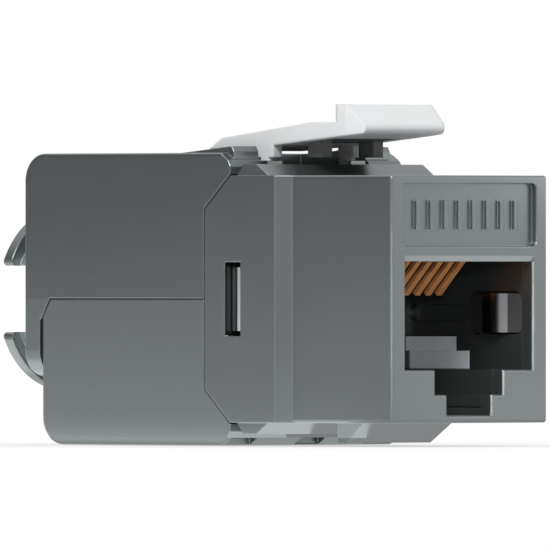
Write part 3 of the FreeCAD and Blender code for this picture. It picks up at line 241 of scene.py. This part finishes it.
# ---------------------------------------------------------------- finishes
# The shield springs carry a painted highlight on their bend.
SHIELD = metal("shield_metal", (0.080, 0.081, 0.083), 0.25, edge_radius=1e-4, zones=[PAINTED_BEND_HIGHLIGHT])
PLATE = metal("plate_metal", (0.80, 0.86, 0.90), 0.40, metallic=0.0)
# The side clips carry a painted shadow behind their teeth.
CLIP = metal("clip_metal", (0.66, 0.69, 0.70), 0.25, zones=[PAINTED_TOOTH_SHADOW])

SLOT_FINISHES = {
    # The casting carries painted shade where the cheek windows end.
    "diecast": zinc("diecast", 1.0, *PAINTED_WINDOW_SHADE),
    "spring_steel": metal("spring_steel", (0.30, 0.30, 0.29), 0.28, grain=2e-7),
    # The contacts' edges are painted much brighter still, as a painted highlight along each blade.
    "contact_metal": metal("contact_metal", (0.80, 0.33, 0.12), 0.30, metallic=0.2, edge_gain=2.8,
                           edge_radius=7e-5),
    # The latch carries painted shade on the stops under its arm and on the fronts of its legs.
    "latch_plastic": plastic("latch_plastic", (0.78, 0.795, 0.805), 0.55, grain=6e-7, tone=0.008,
                             specular=0.2, scatter=0.1, edge_radius=2.5e-4, zones=[PAINTED_STOP_SHADE, PAINTED_LEG_SHADE]),
    "insert_plastic": plastic("insert_plastic", (0.030, 0.033, 0.033), 0.20, grain=1e-7, specular=0.8),
    "core_plastic": plastic("core_plastic", (0.10, 0.10, 0.105), 0.42),
    "board": plastic("board", (0.025, 0.12, 0.06), 0.35, tone=0.08)}

OWN_FINISHES = {
    # The upper door is painted darker and the lower door lighter for the light on each; both carry
    # painted light on the collar neck, the upper door also on its legs.
    "upper_door": zinc("diecast_upper", 0.93, PAINTED_SKIRT_LIGHT, PAINTED_NECK_LIGHT),
    "lower_door": zinc("diecast_lower", 1.12, PAINTED_NECK_LIGHT),
    "shield_spring_left": SHIELD,
    "shield_spring_right": SHIELD,
    "ground_plate_left": PLATE,
    "ground_plate_right": PLATE,
    "side_clip_left": CLIP,
    "side_clip_right": CLIP}

slots = {part["node"]: part["material_slot"] for part in frame["record"]["subparts"]}
for name, thing in frame["nodes"].items():
    thing.data.materials.clear()
    thing.data.materials.append(OWN_FINISHES.get(name) or SLOT_FINISHES[slots[name]])


# ---------------------------------------------------------------- studio
MIDDLE = (0, 0.018, 0)                # what the lamps and the floor are centred on


def card(name, centre, size, normal, material):
    """A flat rectangle with the given middle, (across, up) size and outward normal."""
    half_across, half_up = size[0] / 2, size[1] / 2
    mesh = bpy.data.meshes.new(name)
    mesh.from_pydata([(-half_across, -half_up, 0), (half_across, -half_up, 0),
                      (half_across, half_up, 0), (-half_across, half_up, 0)], [], [(0, 1, 2, 3)])
    mesh.materials.append(material)
    thing = bpy.data.objects.new(name, mesh)
    thing.location = centre
    thing.rotation_euler = Vector(normal).to_track_quat("Z", "Y").to_euler()
    scene.collection.objects.link(thing)
    return thing


# ---------------------------------------------------------------- floor
FLOOR_SIZE = 1.2
FLOOR_GAP = 5e-5                      # keeps its plane off the lowest faces of the object
SHADOW_REACH = 0.035                  # how far off the object still shades a point of the floor
SHADOW_LEAN = (-0.45, -0.33, 0.83)    # up, and towards the key lamp
SHADOW_DEPTH = 0.4
SHADOW_WHOLE = 0.030                  # from the middle of the floor, where the shadow starts to fade
SHADOW_GONE = 0.07                    # and where it has gone


def ground(name):
    """White to gloss, a plain pale surface to light, and to the camera clear apart from the shadow.

    What swings down past it therefore still shows. The shadow is the share of the air over each
    point, most of it on the key lamp's side, that the object takes away.
    """
    g = Graph(bpy.data.materials.new(name))
    pale = g.nodes["Principled BSDF"]
    g.feed(pale, {"Base Color": grey(0.95), "Roughness": 0.9})
    path, mirrored = g.rays()
    white = g.glow(1.0)
    open_share = g.node("AmbientOcclusion", {"Distance": SHADOW_REACH, "Normal": SHADOW_LEAN},
                        samples=12).outputs["AO"]
    away = g.node("VectorMath", {0: g.place()}, operation="LENGTH").outputs["Value"]
    fade = g.node("MapRange", {"Value": away, "From Min": SHADOW_WHOLE, "From Max": SHADOW_GONE},
                  interpolation_type="SMOOTHSTEP").outputs[0]
    shadow = g.mix(fade, g.mix(SHADOW_DEPTH, grey(1.0), open_share), grey(1.0))
    clear = g.node("BsdfTransparent", {"Color": shadow}).outputs[0]
    unmirrored = g.mix_shader(path["Is Camera Ray"], pale.outputs[0], clear)
    g.show(g.mix_shader(mirrored, unmirrored, white))
    return g.owner


floor = card("floor", (MIDDLE[0], MIDDLE[1], bottom - FLOOR_GAP), (FLOOR_SIZE, FLOOR_SIZE), (0, 0, 1),
             ground("floor"))
floor.visible_shadow = False          # the lamps also reach what swings down past it


# ---------------------------------------------------------------- lamps
SOFTBOX = (0.40, 0.25)


def lamp(name, kind, place, aim, power):
    """A lamp turned from its place to its aim. Its data is returned for the rest."""
    data = bpy.data.lights.new(name, kind)
    data.energy = power
    thing = bpy.data.objects.new(name, data)
    thing.location = place
    thing.rotation_euler = (Vector(aim) - Vector(place)).to_track_quat("-Z", "Y").to_euler()
    scene.collection.objects.link(thing)
    return data


def softbox(name, place, power):
    data = lamp(name, "AREA", place, MIDDLE, power)
    data.shape = "RECTANGLE"
    data.size, data.size_y = SOFTBOX


def snoot(name, place, aim, reach, power):
    """A narrow round beam that lights what lies within a reach of its aim."""
    data = lamp(name, "SPOT", place, aim, power)
    data.spot_size = 2 * math.atan(reach / (Vector(aim) - Vector(place)).length)
    data.spot_blend = 0.4
    data.shadow_soft_size = 0.003


softbox("key", (-0.465, -0.34, 0.48), 4.8)
softbox("top", (0.05, 0.05, 0.60), 0.6)
snoot("port_beam", (-0.34, -0.36, 0.055), (0.002, 0.004, -0.002), 0.0080, 1.7)


# ---------------------------------------------------------------- cards that only gloss sees
def flag(name, centre, size, normal, strength):
    """A card that the metal mirrors, grey under a strength of 1 and a soft highlight over it."""
    g = Graph(bpy.data.materials.new(name))
    g.show(g.glow(strength))
    thing = card(name, centre, size, normal, g.owner)
    thing.visible_camera = thing.visible_diffuse = thing.visible_shadow = False
    thing.visible_transmission = False


low = bottom + 0.0005                 # just over the floor

# What mirrors each, seen from the camera, is: the side walls above their seam, the front face, its
# upper corner, the slanted strips of the cheeks, the slopes under the front, those under the side,
# and the upright edges.
flag("flag_side", (-0.09, 0.108, 0.05), (0.30, 0.10), (1, -1, 0), 0.20)
flag("card_right", (0.115, -0.055, 0.03), (0.10, 0.12), (-1, 1, 0), 1.15)
flag("card_corner", (0.026, -0.014, 0.014), (0.012, 0.014), (-1, 1, 0), 2.4)
flag("flag_front", (-0.126, -0.063, 0.0), (0.08, 0.14), (0.84, 0.54, 0), 0.35)
flag("card_low_front", (0.020, -0.015, low), (0.020, 0.014), (0, 0, 1), 2.2)
flag("card_low_side", (-0.008, 0.035, low), (0.011, 0.060), (0, 0, 1), 1.9)
flag("card_edge", (-0.29, -0.042, 0.0), (0.03, 0.20), (1, 0.2, 0), 3.5)

# ---------------------------------------------------------------- world
WORLD_LIGHT = 0.18                    # what it sheds on the object, though it shows as white

sky = Graph(bpy.data.worlds.new("studio"))
scene.world = sky.owner
path, mirrored = sky.rays()
shown = sky.math("MAXIMUM", path["Is Camera Ray"], mirrored)
level = sky.node("MapRange", {"Value": shown, "To Min": WORLD_LIGHT, "To Max": 1.0}).outputs[0]
sky.feed(sky.nodes["Background"], {"Color": grey(1.0), "Strength": level})

scene.view_settings.view_transform = "Standard"
